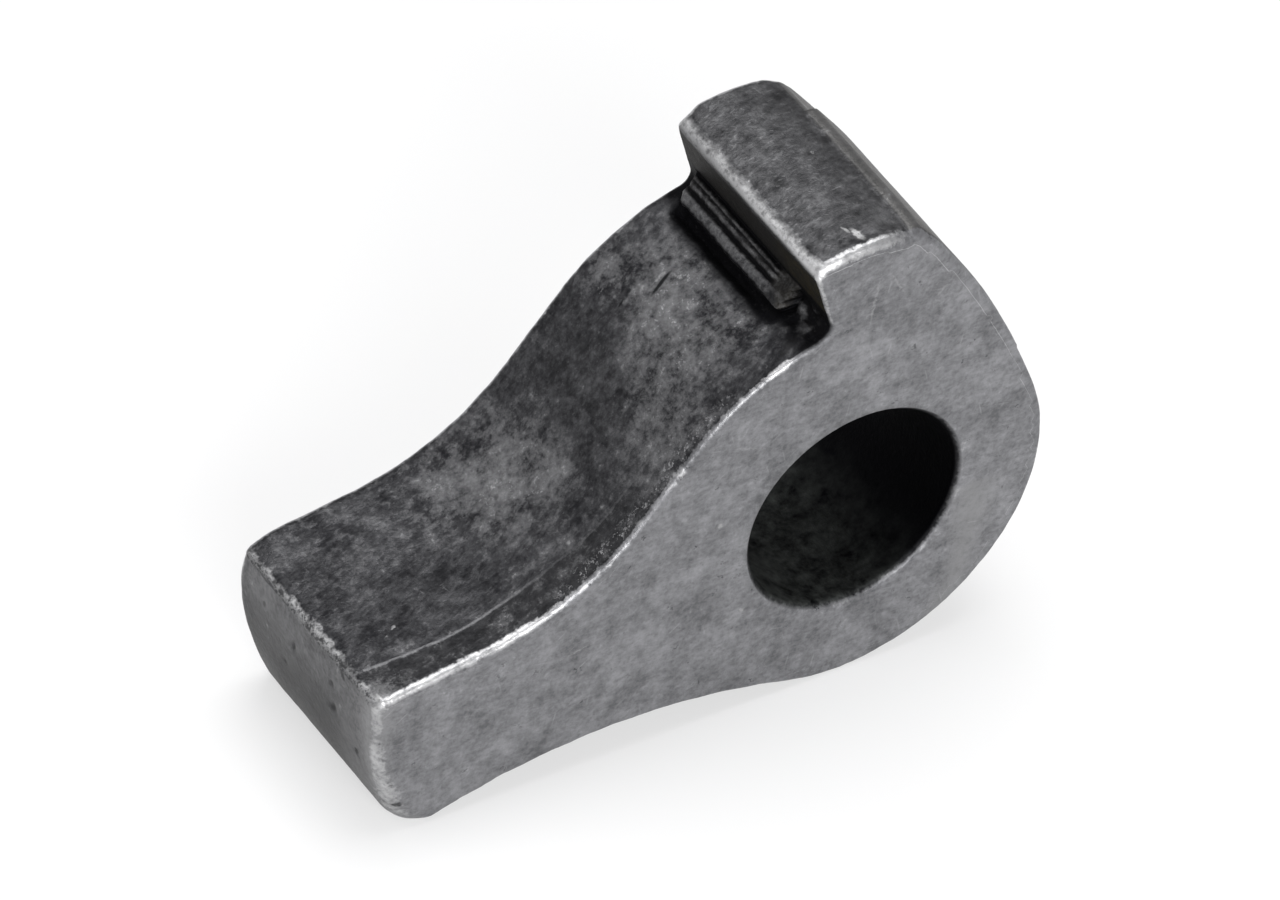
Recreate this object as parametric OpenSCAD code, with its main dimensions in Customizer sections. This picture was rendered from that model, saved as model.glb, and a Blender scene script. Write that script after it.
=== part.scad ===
// Coupling pawl: one steel lever that swings on a cross pin.
// It has a round hub, an S-curved arm that ends in a blunt tip, and a hooked tooth on top.
// The pivot is the origin. The bore runs along Y, the arm reaches towards -X and +Z is up.
// The hub and the heel of the tip stand on the same level.
//
// The side view is a belt laid round circles. Each circle touches the next one or shares
// a straight tangent with it, so the outline stays smooth when a size changes.
// A positive radius is an outside round and a negative radius is a hollow.

/* [Hub and bore] */
// Diameter of the pivot bore
bore_d = 10.4; // [8:0.1:12]
// Outer radius of the hub
hub_r = 9.5; // [8.6:0.1:10]
// Thickness of the pawl along the bore
thickness = 11.4; // [8:0.1:16]
// Break at each mouth of the bore
bore_break = 0.25; // [0.05:0.05:0.6]

/* [Arm] */
// Radius of the crown of the arm, struck from the pivot
crown_r = 11.1; // [10.6:0.1:11.6]
// Radius of the saddle between the crown and the tip
saddle_r = 11.2; // [9:0.1:12.5]
// Straight run between the crown and the saddle
saddle_run = 3.8; // [1:0.1:4]
// Direction of the saddle's centre, seen from the pivot
saddle_angle = 152; // [149:0.2:154]
// Radius of the hollow under the arm
underside_r = 30.5; // [24:1:60]

/* [Tip] */
// Reach of the tip from the pivot
tip_reach = 23.8; // [22:0.1:26]
// Drop of the tip's upper edge below the pivot
tip_drop = 1.25; // [0.6:0.05:2]
// Radius of the bulged end face
nose_r = 15; // [13:0.5:30]
// Drop of the furthest point of the end face below the pivot
nose_drop = 2.3; // [1.5:0.1:3.5]
// Round on the tip's upper edge
tip_round = 0.5; // [0.45:0.05:1]
// Round on the heel the tip stands on
heel_round = 1.7; // [1.2:0.1:2.5]

/* [Tooth] */
// Height of the tooth above the pivot
tooth_h = 15.4; // [14.4:0.1:16.5]
// Radius of the slightly crowned top of the tooth
tooth_top_r = 8; // [7:0.5:14]
// Place of the top's highest point, behind the pivot
tooth_top_x = 0.4; // [0:0.1:1.2]
// Reach of the tooth's hooked edge behind the pivot
hook_reach = 3.35; // [3:0.1:4]
// Round on the hooked edge
hook_round = 0.55; // [0.45:0.05:0.8]
// Round between the top and the flank
shoulder_round = 0.9; // [0.5:0.1:2]
// Radius of the notch at the root of the hook
root_r = 0.62; // [0.5:0.02:0.8]
// Direction of the root notch, seen from the pivot
root_angle = 104.8; // [104:0.1:106.5]

/* [Flank] */
// Radius of the long flank from the hub to the top of the tooth
flank_r = 39; // [34:1:60]
// Direction in which the flank leaves the hub
flank_angle = 21.5; // [19:0.1:24]
// Height of the land at the tooth
land_t = 0.3; // [0.1:0.05:0.4]
// Height of the land at its lower end
land_low = 0.05; // [0.02:0.01:0.2]
// Direction of the flank's surface where the land begins
land_angle = 25.8; // [24.5:0.1:28]
// Distance that the land stays short of the back face
land_gap = 2.6; // [1:0.1:4]

/* [Root ledge] */
// Height on the hook's wall at which the ledge begins
ledge_h = 0.5; // [0.3:0.05:0.8]
// Reach of the ledge's lip along the crown
lip_reach = 0.6; // [0.5:0.05:0.8]
// Height of the lip above the crown
lip_h = 0.4; // [0.25:0.05:0.6]
// Number of ridges along the ledge
ridge_count = 2; // [1:1:3]
// Radius of one ridge
ridge_r = 0.34; // [0.2:0.02:0.4]
// Width of the groove beside the lip, along the crown
groove_w = 0.5; // [0.3:0.05:0.8]
// Depth of the groove below the crown
groove_d = 0.5; // [0.3:0.05:0.8]
// Distance that the ledge stays short of the front face
ledge_front = 2.4; // [1.5:0.1:4]
// Distance that the ledge stays short of the back face
ledge_back = 1; // [0.3:0.1:2]

/* [Edges] */
// Round along both side faces
edge_r = 0.4; // [0.1:0.05:0.8]
// Round along the side faces at the foot of the end face
worn_edge_r = 1.4; // [0.4:0.1:1.6]

/* [Hidden] */
// Overlap between forms that are joined or cut
bite = 0.1;
// Length of the slope at the land's lower end
land_step = 0.2;
// Largest sag of a facet from its arc
sag = 0.005;
// Widest turn of one facet
turn_max = 11;
// Stops closer than this are one
merge = 0.03;
// Steps in the round along a side face
edge_steps = 4;
// Facets round the bore and round a ridge
bore_facets = 96;
ridge_facets = 32;
// Share of a ridge's radius that its centre lies below the ledge
ridge_sink = 0.65;
// Reach of the cut along a side edge, out from the wall
rim_out = 0.3;
// Reach of that cut past both ends of its round
rim_past = 0.04;
half_t = thickness / 2;
// Edge rounds, held inside the outside rounds that they meet
side_edge = min(edge_r, 0.9 * min(hook_round, tip_round, shoulder_round));
heel_edge = max(side_edge, min(worn_edge_r, 0.9 * heel_round));

// Direction of an angle, measured from +X towards +Z
function dir(a) = [cos(a), sin(a)];
// The same angle within one turn
function in_turn(a) = a - 360 * floor(a / 360);
// Centre at given distances from two other centres, on the left (1) or right (-1) of a to b
function meet(a, ra, b, rb, side) =
    let (
        d = norm(b - a),
        u = (b - a) / d,
        along = (d * d + ra * ra - rb * rb) / (2 * d),
        off = sqrt(max(0, ra * ra - along * along))
    )
    a + along * u + side * off * [-u[1], u[0]];
// Height from a circle's centre to its edge, at a distance beside the centre
function rise(r, beside) = sqrt(max(0, r * r - beside * beside));

// Centres of the belt's circles
pivot = [0, 0];
flank_c = (hub_r - flank_r) * dir(flank_angle);
top_c = [-tooth_top_x, tooth_h - tooth_top_r];
shoulder_c = meet(flank_c, flank_r - shoulder_round, top_c, tooth_top_r - shoulder_round, 1);
hook_x = hook_round - hook_reach;
hook_c = [hook_x, top_c[1] + rise(tooth_top_r - hook_round, hook_x - top_c[0])];
root_c = (crown_r + root_r) * dir(root_angle);
saddle_c = norm([crown_r + saddle_r, saddle_run]) * dir(saddle_angle);
nose_c = [nose_r - tip_reach, -nose_drop];
tip_z = -tip_drop - tip_round;
tip_c = [nose_c[0] - rise(nose_r - tip_round, tip_z - nose_c[1]), tip_z];
heel_z = heel_round - hub_r;
heel_c = [nose_c[0] - rise(nose_r - heel_round, heel_z - nose_c[1]), heel_z];
underside_c = meet(heel_c, heel_round + underside_r, pivot, hub_r + underside_r, -1);

// Which part of the flank's land a circle carries
BARE = 0;
LAND = 1;
FADE = 2;

// The belt, seen from the front and taken anticlockwise:
// centre, radius, round along the side faces and land
belt = [
    [pivot, hub_r, side_edge, BARE],
    [flank_c, flank_r, side_edge, LAND],
    [shoulder_c, shoulder_round, side_edge, FADE],
    [top_c, tooth_top_r, side_edge, BARE],
    [hook_c, hook_round, side_edge, BARE],
    [root_c, -root_r, side_edge, BARE],
    [pivot, crown_r, side_edge, BARE],
    [saddle_c, -saddle_r, side_edge, BARE],
    [tip_c, tip_round, side_edge, BARE],
    [nose_c, nose_r, side_edge, BARE],
    [heel_c, heel_round, heel_edge, BARE],
    [underside_c, -underside_r, side_edge, BARE]
];
HOOK = 4;
function after(i) = (i + 1) % len(belt);
function before(i) = (i + len(belt) - 1) % len(belt);

// Direction of the outline's normal where the belt leaves each circle
leave = [
    for (i = [0:len(belt) - 1])
        let (p = belt[i], q = belt[after(i)], d = q[0] - p[0])
        in_turn(atan2(d[1], d[0]) - acos(max(-1, min(1, (p[1] - q[1]) / norm(d)))))
];
// Turn of the belt round a circle: anticlockwise on a round, clockwise in a hollow
function wrap(i) =
    let (turn = in_turn(leave[i] - leave[before(i)]))
    belt[i][1] > 0 ? turn : turn - 360;
// Directions from a to b in even steps, fine enough for an arc of radius r
function fan(a, b, r) =
    let (n = ceil(abs(b - a) / min(turn_max, 2 * acos(1 - sag / max(abs(r), 1)))))
    [for (k = [0:n]) a + (b - a) * k / n];
// Height of the land in one direction of a circle that turns from a to b
function land_height(kind, a, b, at) =
    kind == LAND && at > land_angle ?
        land_low + (land_t - land_low) * (at - land_angle) / (b - land_angle) :
    kind == FADE ?
        land_t * (b - at) / (b - a) :
    0;

// Stops along the belt: centre, radius, normal's direction, edge round, land height
stops = [
    for (i = [0:len(belt) - 1])
        let (
            c = belt[i],
            a = leave[before(i)],
            b = a + wrap(i),
            up = land_angle + land_step / flank_r * 180 / PI,
            turns = c[3] == LAND ? concat(fan(a, land_angle, c[1]), fan(up, b, c[1])) : fan(a, b, c[1])
        )
        for (at = turns)
            let (edge = c[2] + (belt[after(i)][2] - c[2]) * sin(90 * (at - a) / (b - a)))
            [c[0], c[1], at, edge, land_height(c[3], a, b, at)]
];
// Point of the side view's outline at a stop, moved out along its normal
function outline_point(s, out) = s[0] + (s[1] + out) * dir(s[2]);
// The stops, without those where one circle touches the next at the same point
stations = [
    for (i = [0:len(stops) - 1])
        let (previous = stops[(i + len(stops) - 1) % len(stops)])
        if (norm(outline_point(stops[i], 0) - outline_point(previous, 0)) > merge) stops[i]
];

// Stops half-way between those of one circle, where the cuts along the side edges have their frames
frames = [
    for (i = [0:len(stops) - 2])
        let (p = stops[i], q = stops[i + 1])
        if (p[0] == q[0] && p[1] == q[1] && norm(outline_point(p, 0) - outline_point(q, 0)) > merge)
            (p + q) / 2
];
// Section of such a cut: way out from the wall and depth below the side face.
// Its first and last facets run on past the round, so that they cross both faces at a slant.
step = 90 / edge_steps;
slant = tan(step / 2);
function rim_section(e) = concat(
    [[rim_out, -rim_out], [rim_out, e + rim_past], [slant * rim_past, e + rim_past]],
    [for (k = [edge_steps - 1:-1:1]) [e * (sin(k * step) - 1), e * (1 - cos(k * step))]],
    [[-e - rim_past, -slant * rim_past], [-e - rim_past, -rim_out]]
);

// Cut that rounds the edge of the front face, over the bare outline (0) or over the land too (1)
module rim_cut(with_land) {
    n = len(frames);
    m = len(rim_section(1));
    polyhedron(
        points = [
            for (s = frames)
                for (q = rim_section(s[3]))
                    let (p = outline_point(s, q[0] + with_land * s[4]))
                    [p[0], q[1] - half_t, p[1]]
        ],
        faces = [
            for (i = [0:n - 1])
                for (j = [0:m - 1])
                    let (i2 = (i + 1) % n, j2 = (j + 1) % m)
                    [i * m + j, i2 * m + j, i2 * m + j2, i * m + j2]
        ],
        convexity = 10
    );
}

// Prism of a side-view outline between two planes along Y
module slab(front, back) {
    translate([0, back, 0])
        rotate([90, 0, 0])
            linear_extrude(back - front)
                children();
}

// Pawl without its root ledge and bore
module body() {
    difference() {
        union() {
            slab(-half_t, half_t)
                polygon([for (s = stations) outline_point(s, 0)]);
            slab(-half_t, half_t - land_gap)
                polygon([for (s = stations) outline_point(s, s[4])]);
        }
        rim_cut(1);
        mirror([0, 1, 0])
            rim_cut(0);
    }
}

// Point at a distance along the crown from the root, and at a height above it
function on_crown(run, up) = (crown_r + up) * dir(root_angle + run / crown_r * 180 / PI);
// Point up the hook's wall from the root, and at a depth behind its surface
function on_wall(up, behind) =
    let (wall = dir(leave[HOOK]))
    root_c - (root_r + behind) * wall + up * [wall[1], -wall[0]];

ledge_y0 = ledge_front - half_t;
ledge_y1 = half_t - ledge_back;
lip = on_crown(lip_reach, lip_h);
ledge_top = on_wall(ledge_h, 0);

// Rough ledge that fills the root of the hook, with ridges along the thickness
module ledge() {
    slope = lip - ledge_top;
    inward = [-slope[1], slope[0]] / norm(slope);
    slab(ledge_y0, ledge_y1)
        polygon([
            on_wall(ledge_h, bite),
            ledge_top,
            lip,
            on_crown(lip_reach / 2, -groove_d / 2),
            on_crown(-lip_reach, -groove_d),
            on_wall(0, groove_d)
        ]);
    for (k = [0:ridge_count - 1])
        let (c = ledge_top + slope * (k + 0.5) / ridge_count + inward * ridge_r * ridge_sink)
        slab(ledge_y0 + bite, ledge_y1 - bite)
            translate(c)
                circle(r = ridge_r, $fn = ridge_facets);
}

// Groove that runs along the crown and under the lip
module groove() {
    slab(ledge_y0, ledge_y1)
        polygon([
            on_crown(lip_reach + groove_w, bite),
            on_crown(lip_reach + groove_w, 0),
            on_crown(lip_reach + groove_w * 0.6, -groove_d),
            on_crown(lip_reach / 2, -groove_d),
            on_crown(lip_reach / 2, -groove_d / 2),
            lip
        ]);
}

// Pivot bore with a small break at both mouths
module bore() {
    rotate([90, 0, 0]) {
        cylinder(d = bore_d, h = thickness + 2 * bite, center = true, $fn = bore_facets);
        for (side = [0, 180])
            rotate([side, 0, 0])
                translate([0, 0, half_t - bore_break])
                    cylinder(
                        d1 = bore_d,
                        d2 = bore_d + 4 * bore_break,
                        h = 2 * bore_break,
                        $fn = bore_facets
                    );
    }
}

module pawl() {
    color("DimGray")
        difference() {
            union() {
                ledge();
                body();
            }
            groove();
            bore();
        }
}

pawl();
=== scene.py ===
import math

import bpy
import numpy as np
from mathutils import Matrix, Vector, noise
from mathutils.geometry import delaunay_2d_cdt


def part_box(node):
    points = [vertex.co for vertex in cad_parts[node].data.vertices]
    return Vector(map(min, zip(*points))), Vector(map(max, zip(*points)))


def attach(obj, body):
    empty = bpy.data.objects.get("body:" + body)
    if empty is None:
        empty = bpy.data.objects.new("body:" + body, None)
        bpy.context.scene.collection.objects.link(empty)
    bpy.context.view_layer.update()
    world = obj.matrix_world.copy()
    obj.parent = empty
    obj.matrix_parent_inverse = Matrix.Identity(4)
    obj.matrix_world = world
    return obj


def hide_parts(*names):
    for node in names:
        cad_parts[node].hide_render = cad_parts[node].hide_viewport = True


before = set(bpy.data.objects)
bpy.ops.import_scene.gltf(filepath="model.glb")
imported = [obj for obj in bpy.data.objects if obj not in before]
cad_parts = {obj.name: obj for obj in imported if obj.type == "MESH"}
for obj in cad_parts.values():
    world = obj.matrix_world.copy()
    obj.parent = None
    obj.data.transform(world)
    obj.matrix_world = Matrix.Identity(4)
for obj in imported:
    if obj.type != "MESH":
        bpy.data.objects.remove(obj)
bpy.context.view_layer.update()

# The pawl is made in millimetres and scaled to metres when its mesh is built.
MM = 0.001

# Main sizes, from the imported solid
LOW, HIGH = (np.array(corner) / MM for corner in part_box("pawl"))
HALF_T = HIGH[1]
HUB_R = -LOW[2]
TOOTH_H = HIGH[2]
TIP_REACH = -LOW[0]

# Side view: the other radii and places of the belt of circles, as the solid has them
BORE_R = 5.2
BORE_BREAK = 0.25
CROWN_R = 11.1
SADDLE_R = 11.2
SADDLE_RUN = 3.8
SADDLE_ANGLE = 152
UNDERSIDE_R = 30.5
TIP_DROP = 1.25
NOSE_R = 15
NOSE_DROP = 2.3
TIP_ROUND = 0.5
HEEL_ROUND = 1.7
TOP_R = 8
TOP_X = 0.4
HOOK_REACH = 3.35
HOOK_ROUND = 0.55
SHOULDER_ROUND = 0.9
ROOT_R = 0.62
ROOT_ANGLE = 104.8
FLANK_R = 39
FLANK_ANGLE = 21.5

# Land on the flank
LAND_T = 0.3
LAND_LOW = 0.05
LAND_ANGLE = 25.8
LAND_GAP = 2.6
LAND_STEP = 0.07

# Ledge and groove at the root of the hook
LEDGE_H = 0.5
LIP_REACH = 0.6
LIP_H = 0.4
RIDGES = 2
RIDGE_H = 0.24
GROOVE_W = 0.5
GROOVE_D = 0.5
LEDGE_FRONT = 2.4
LEDGE_BACK = 1.0

# Rounds along the side faces, on each stretch of the outline
EDGE_R = 0.4
EDGE_ROUNDS = {
    "hub": 0.3, "flank": 0.2, "shoulder": 0.55, "top": 0.6, "hook": 0.45, "root": 0.24,
    "crown": 0.32, "saddle": 0.4, "tip": 0.42, "nose": 0.5, "heel": 1.15, "underside": 0.4,
}

# Share of those rounds on the back edge of the tooth's top, and the most of an outside round that one takes
BACK_TOP_SHARE = 0.6
MOST_OF_ROUND = 0.86

# How uneven the edge rounds are: slow and fine share, and the fine share's part on the tip's end
SLOW_WAVER = 0.2
FINE_WAVER = 0.09
CALM_SHARE = 0.3

# Spacing of the mesh: along the outline, in the root, through the thickness and on the side faces
STEP = 0.16
ROOT_STEP = 0.05
RING_STEP = 0.19
FINE_RING_STEP = 0.06
FACE_STEP = 0.36
EDGE_RINGS = 8
RIB_STEPS = 17
BORE_STEPS = 180
BORE_RINGS = 44

# Low step along the arm's top: its height and the breadth of its slope
STEP_DROP = 0.045
STEP_BREADTH = 0.1

# Stretches through the thickness with the finer rings: the ledge's front end and the land's back end
FINE = ((-5.3, -2.9), (2.9, 3.3))

# Half the thickness of the middle part, whose rings the uneven edge rounds leave in place
EVEN_T = 3.4

# Value of a distance where it isn't measured
FAR = 9.0

QUARTER = math.pi / 2


def direction(degrees):
    """Unit vector in the side view, measured from +X towards +Z."""
    a = math.radians(degrees)
    return np.array([math.cos(a), math.sin(a)])


def meet(a, ra, b, rb, side):
    """Centre at given distances from two others, on the left (1) or right (-1) of a to b."""
    gap = np.linalg.norm(b - a)
    u = (b - a) / gap
    along = (gap * gap + ra * ra - rb * rb) / (2 * gap)
    off = math.sqrt(max(0, ra * ra - along * along))
    return a + along * u + side * off * np.array([-u[1], u[0]])


def rise(r, beside):
    """Height from a circle's centre to its edge, at a distance beside the centre."""
    return math.sqrt(max(0, r * r - beside * beside))


def belt_circles():
    """The side view's circles, anticlockwise from the hub: name, centre, radius (negative in a hollow)."""
    pivot = np.zeros(2)
    flank = (HUB_R - FLANK_R) * direction(FLANK_ANGLE)
    top = np.array([-TOP_X, TOOTH_H - TOP_R])
    shoulder = meet(flank, FLANK_R - SHOULDER_ROUND, top, TOP_R - SHOULDER_ROUND, 1)
    hook_x = HOOK_ROUND - HOOK_REACH
    hook = np.array([hook_x, top[1] + rise(TOP_R - HOOK_ROUND, hook_x - top[0])])
    root = (CROWN_R + ROOT_R) * direction(ROOT_ANGLE)
    saddle = math.hypot(CROWN_R + SADDLE_R, SADDLE_RUN) * direction(SADDLE_ANGLE)
    nose = np.array([NOSE_R - TIP_REACH, -NOSE_DROP])
    tip_z = -TIP_DROP - TIP_ROUND
    tip = np.array([nose[0] - rise(NOSE_R - TIP_ROUND, tip_z - nose[1]), tip_z])
    heel_z = HEEL_ROUND - HUB_R
    heel = np.array([nose[0] - rise(NOSE_R - HEEL_ROUND, heel_z - nose[1]), heel_z])
    underside = meet(heel, HEEL_ROUND + UNDERSIDE_R, pivot, HUB_R + UNDERSIDE_R, -1)
    return [
        ("hub", pivot, HUB_R),
        ("flank", flank, FLANK_R),
        ("shoulder", shoulder, SHOULDER_ROUND),
        ("top", top, TOP_R),
        ("hook", hook, HOOK_ROUND),
        ("root", root, -ROOT_R),
        ("crown", pivot, CROWN_R),
        ("saddle", saddle, -SADDLE_R),
        ("tip", tip, TIP_ROUND),
        ("nose", nose, NOSE_R),
        ("heel", heel, HEEL_ROUND),
        ("underside", underside, -UNDERSIDE_R),
    ]


CIRCLES = belt_circles()
NAMES = [c[0] for c in CIRCLES]

# Number of the stations on the hook's straight wall, and the circles of the arm's top and of the tip's end
HOOK_WALL = NAMES.index("hook") + 0.5
ARM = ("crown", "saddle")
TIP_END = ("nose", "heel")


def leaving(i):
    """Direction of the outline's normal where the belt leaves circle i, in degrees."""
    _, centre, r = CIRCLES[i]
    _, next_centre, next_r = CIRCLES[(i + 1) % len(CIRCLES)]
    way = next_centre - centre
    turn = math.acos(max(-1, min(1, (r - next_r) / np.linalg.norm(way))))
    return math.degrees(math.atan2(way[1], way[0]) - turn) % 360


LEAVE = [leaving(i) for i in range(len(CIRCLES))]


def land_height(name, start, end, at):
    """Height of the flank's land in one direction of a circle."""
    if name == "flank" and at > LAND_ANGLE:
        return LAND_LOW + (LAND_T - LAND_LOW) * (at - LAND_ANGLE) / (end - LAND_ANGLE)
    if name == "shoulder":
        return LAND_T * (end - at) / (end - start)
    return 0.0


def outline():
    """Stations round the side view: point, normal, edge round, land height and circle of each.

    A station on the straight stretch after a circle has that circle's number and a half.
    """
    rows = []
    for i, (name, centre, r) in enumerate(CIRCLES):
        start = LEAVE[i - 1]
        turn = (LEAVE[i] - start) % 360
        if r < 0:
            turn -= 360
        end = start + turn
        fine = ROOT_STEP if name in ("root", "hook", "tip") else STEP
        count = max(3, math.ceil(math.radians(abs(turn)) * abs(r) / fine))
        next_name, next_centre, next_r = CIRCLES[(i + 1) % len(CIRCLES)]
        edge, next_edge = EDGE_ROUNDS[name], EDGE_ROUNDS[next_name]
        for k in range(count):
            at = start + turn * k / count
            share = k / count
            blend = edge + (next_edge - edge) * share * share
            rows.append((centre + r * direction(at), at, blend, land_height(name, start, end, at), i))
        here = centre + r * direction(end)
        there = next_centre + next_r * direction(end)
        run = np.linalg.norm(there - here)
        fine = ROOT_STEP if "root" in (name, next_name) else STEP
        straight = math.ceil(run / fine) if run > 0.01 else 0
        for k in range(straight):
            rows.append((here + (there - here) * k / straight, end, next_edge, 0.0, i + 0.5))
    point, normal, edge, land, circle = (np.array(column) for column in zip(*rows))
    return point, np.radians(normal), edge, land, circle


POINT, NORMAL_ANGLE, EDGE, LAND, CIRCLE = outline()
NORMAL = np.c_[np.cos(NORMAL_ANGLE), np.sin(NORMAL_ANGLE)]
COUNT = len(POINT)
CHORD = np.linalg.norm(np.roll(POINT, -1, axis=0) - POINT, axis=1)
ALONG = np.r_[0, np.cumsum(CHORD)[:-1]]


def arc_of(name):
    """Numbers of the stations on one circle."""
    return np.where(CIRCLE == NAMES.index(name))[0]


def off_arc(name):
    """Distance of each station along the outline from the middle of one circle's arc."""
    arc = ALONG[arc_of(name)]
    return ALONG - 0.5 * (arc[0] + arc[-1])


def on_circles(circle, *names):
    """Which circle numbers belong to the named circles or the straight stretches after them."""
    return np.isin(np.floor(circle), [NAMES.index(name) for name in names])


def smooth(x):
    x = np.clip(x, 0, 1)
    return x * x * (3 - 2 * x)


def bell(x):
    return np.exp(-(x ** 2))


def wander(x, y):
    """Smooth noise from about -1 to 1, one bump to a unit."""
    return noise.noise(Vector((x, y, 0.0)))


def on_crown(run, up):
    """Point above the crown, at a run along it from the root."""
    return (CROWN_R + up) * direction(ROOT_ANGLE + math.degrees(run / CROWN_R))


WALL = direction(LEAVE[NAMES.index("hook")])
UP_WALL = np.array([WALL[1], -WALL[0]])
ROOT_C = CIRCLES[NAMES.index("root")][1]


def off_wall(up, out):
    """Point in front of the hook's wall, at a height from the root."""
    return ROOT_C - (ROOT_R - out) * WALL + up * UP_WALL


def resample(points, count):
    """The same line with evenly spaced points, its two ends kept."""
    points = np.array(points)
    length = np.r_[0, np.cumsum(np.linalg.norm(np.diff(points[:, :2], axis=0), axis=1))]
    at = np.linspace(0, length[-1], count)
    return np.stack([np.interp(at, length, column) for column in points.T], axis=1)


def root_zone():
    """Stations of the ledge and its groove, from the hook's wall to the crown, and their run along it."""
    up = (POINT - ROOT_C) @ UP_WALL
    run = np.radians(np.degrees(np.arctan2(POINT[:, 1], POINT[:, 0])) - ROOT_ANGLE) * CROWN_R
    on_the_wall = (CIRCLE == HOOK_WALL) & (up < LEDGE_H + 0.25)
    on_the_crown = (CIRCLE == NAMES.index("crown")) & (run < LIP_REACH + GROOVE_W + 0.55)
    zone = np.where(on_the_wall | (CIRCLE == NAMES.index("root")) | on_the_crown)[0]
    return zone, run[zone]


ROOT_ZONE, ROOT_RUN = root_zone()


def ribs(top, slope, out, y, ridged):
    """The ribs' side view down the ledge's slope: place, painted shade and painted crest highlight of each
    point.
    """
    line = []
    for k in range(RIDGES):
        rough = 1 + 0.35 * wander(y * 5.3, 11.0 + 5 * k) + 0.2 * wander(y * 1.3, 17.0 + 5 * k)
        height = RIDGE_H * ridged * rough
        shift = 0.05 * wander(y * 3.7, 23.0 + 5 * k)
        for t in np.linspace(0.03, 0.97, RIB_STEPS):
            bulge = rise(1, 2 * t - 1)
            if k == 0:
                bulge -= 0.4 * bell((t - 0.45) / 0.1)
            spot = top + slope * ((k + t + shift) / RIDGES) + out * height * bulge
            # Painted highlight on each rib's crest, and painted shade in the valleys between the ribs
            crest_highlight = smooth(3.6 * bulge - 2.4)
            soot = 0.45 * (1 - ridged) + ridged * (0.95 - 0.95 * crest_highlight)
            line.append((*spot, soot, 0.3 * (1 - ridged) + ridged * crest_highlight))
    return line


def ledge_section(y):
    """Side view of ledge and groove at one depth, over the root zone's stations: place, painted shade,
    painted crest highlight.
    """
    top = off_wall(LEDGE_H + 0.04 * wander(y * 1.7, 3.1), 0.03)
    teeth = 0.05 * wander(y * 6.1, 7.7) + 0.04 * wander(y * 2.3, 5.2)
    lip = on_crown(LIP_REACH + teeth, LIP_H + 0.04 * wander(y * 3.1, 1.3))
    slope = lip - top
    out = np.array([-slope[1], slope[0]]) / np.linalg.norm(slope)
    if out @ WALL < 0:
        out = -out
    past_front = y - (LEDGE_FRONT - HALF_T)
    ridged = smooth((past_front - 0.9) / 0.35)
    deep = GROOVE_D * smooth(past_front / 2.2) * (0.85 + 0.25 * wander(y * 0.9, 40.0))
    far = GROOVE_W * (0.9 + 0.25 * wander(y * 1.1, 50.0))
    # Painted shade: dark along the wall above the ledge and black down in the groove, with a painted
    # highlight on the lip
    line = [(*POINT[ROOT_ZONE[0]], 0.9, 0), (*(top - 0.03 * slope), 0.85, 0)]
    line += ribs(top, slope, out, y, ridged)
    line += [
        (*(lip + 0.02 * out), 0.15, 0.6),
        (*on_crown(LIP_REACH * 0.62, LIP_H * 0.45), 1.0, 0),
        (*on_crown(LIP_REACH * 0.5, -deep * 0.5), 1.0, 0),
        (*on_crown(LIP_REACH * 0.55, -deep), 1.0, 0),
        (*on_crown(LIP_REACH + 0.5 * far, -deep), 1.0, 0),
        (*on_crown(LIP_REACH + far, -0.42 * deep), 1.0, 0),
        (*on_crown(LIP_REACH + far + 0.15, -0.14 * deep), 0.85, 0),
        (*POINT[ROOT_ZONE[-1]], 0.25, 0),
    ]
    return resample(line, len(ROOT_ZONE))


def edge_rounds(seed, top_share=1.0):
    """Edge round at each station: a little uneven, and smaller than the outside round that it runs over."""
    top = ALONG[arc_of("top")]
    past_top = np.abs(off_arc("top")) - 0.5 * (top[-1] - top[0])
    shares = 1 + (top_share - 1) * (1 - smooth((past_top + 0.6) / 0.8))
    calm = np.where(np.isin(CIRCLE, [NAMES.index(name) for name in TIP_END]), CALM_SHARE, 1.0)
    rounds = np.empty(COUNT)
    for k, along in enumerate(ALONG):
        slow = SLOW_WAVER * wander(along * 0.9, seed)
        fine = calm[k] * min(1, EDGE_R / EDGE[k]) * FINE_WAVER * wander(along * 3.3, seed + 4)
        rounds[k] = EDGE[k] * shares[k] * (1 + slow + fine)
        r = CIRCLES[int(CIRCLE[k])][2]
        if r > 0:
            rounds[k] = min(rounds[k], MOST_OF_ROUND * r)
    return rounds


def ring_plan():
    """The rings through the thickness: the part of each, and its turn on a round or its depth."""
    plan = [("front", QUARTER * k / EDGE_RINGS) for k in range(EDGE_RINGS)]
    y, end = -HALF_T + EDGE_R, HALF_T - EDGE_R
    plan.append(("wall", y))
    while y < end - 0.02:
        fine = any(a - 1e-6 <= y < b for a, b in FINE)
        y = min(end, y + (FINE_RING_STEP if fine else RING_STEP))
        plan.append(("wall", y))
    return plan + [("back", QUARTER * k / EDGE_RINGS) for k in range(EDGE_RINGS - 1, -1, -1)]


def ring_place(part, at, front, back):
    """Depth of one ring's stations, and how far each is inset from the outline."""
    if part == "front":
        return -HALF_T + front * (1 - math.cos(at)), front * (1 - math.sin(at))
    if part == "back":
        return HALF_T - back * (1 - math.cos(at)), back * (1 - math.sin(at))
    reach = HALF_T - EDGE_R - EVEN_T
    to_front = min(1, max(0, (-EVEN_T - at) / reach))
    to_back = min(1, max(0, (at - EVEN_T) / reach))
    return at + to_front * (front - EDGE_R) - to_back * (back - EDGE_R), np.zeros(COUNT)


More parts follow.
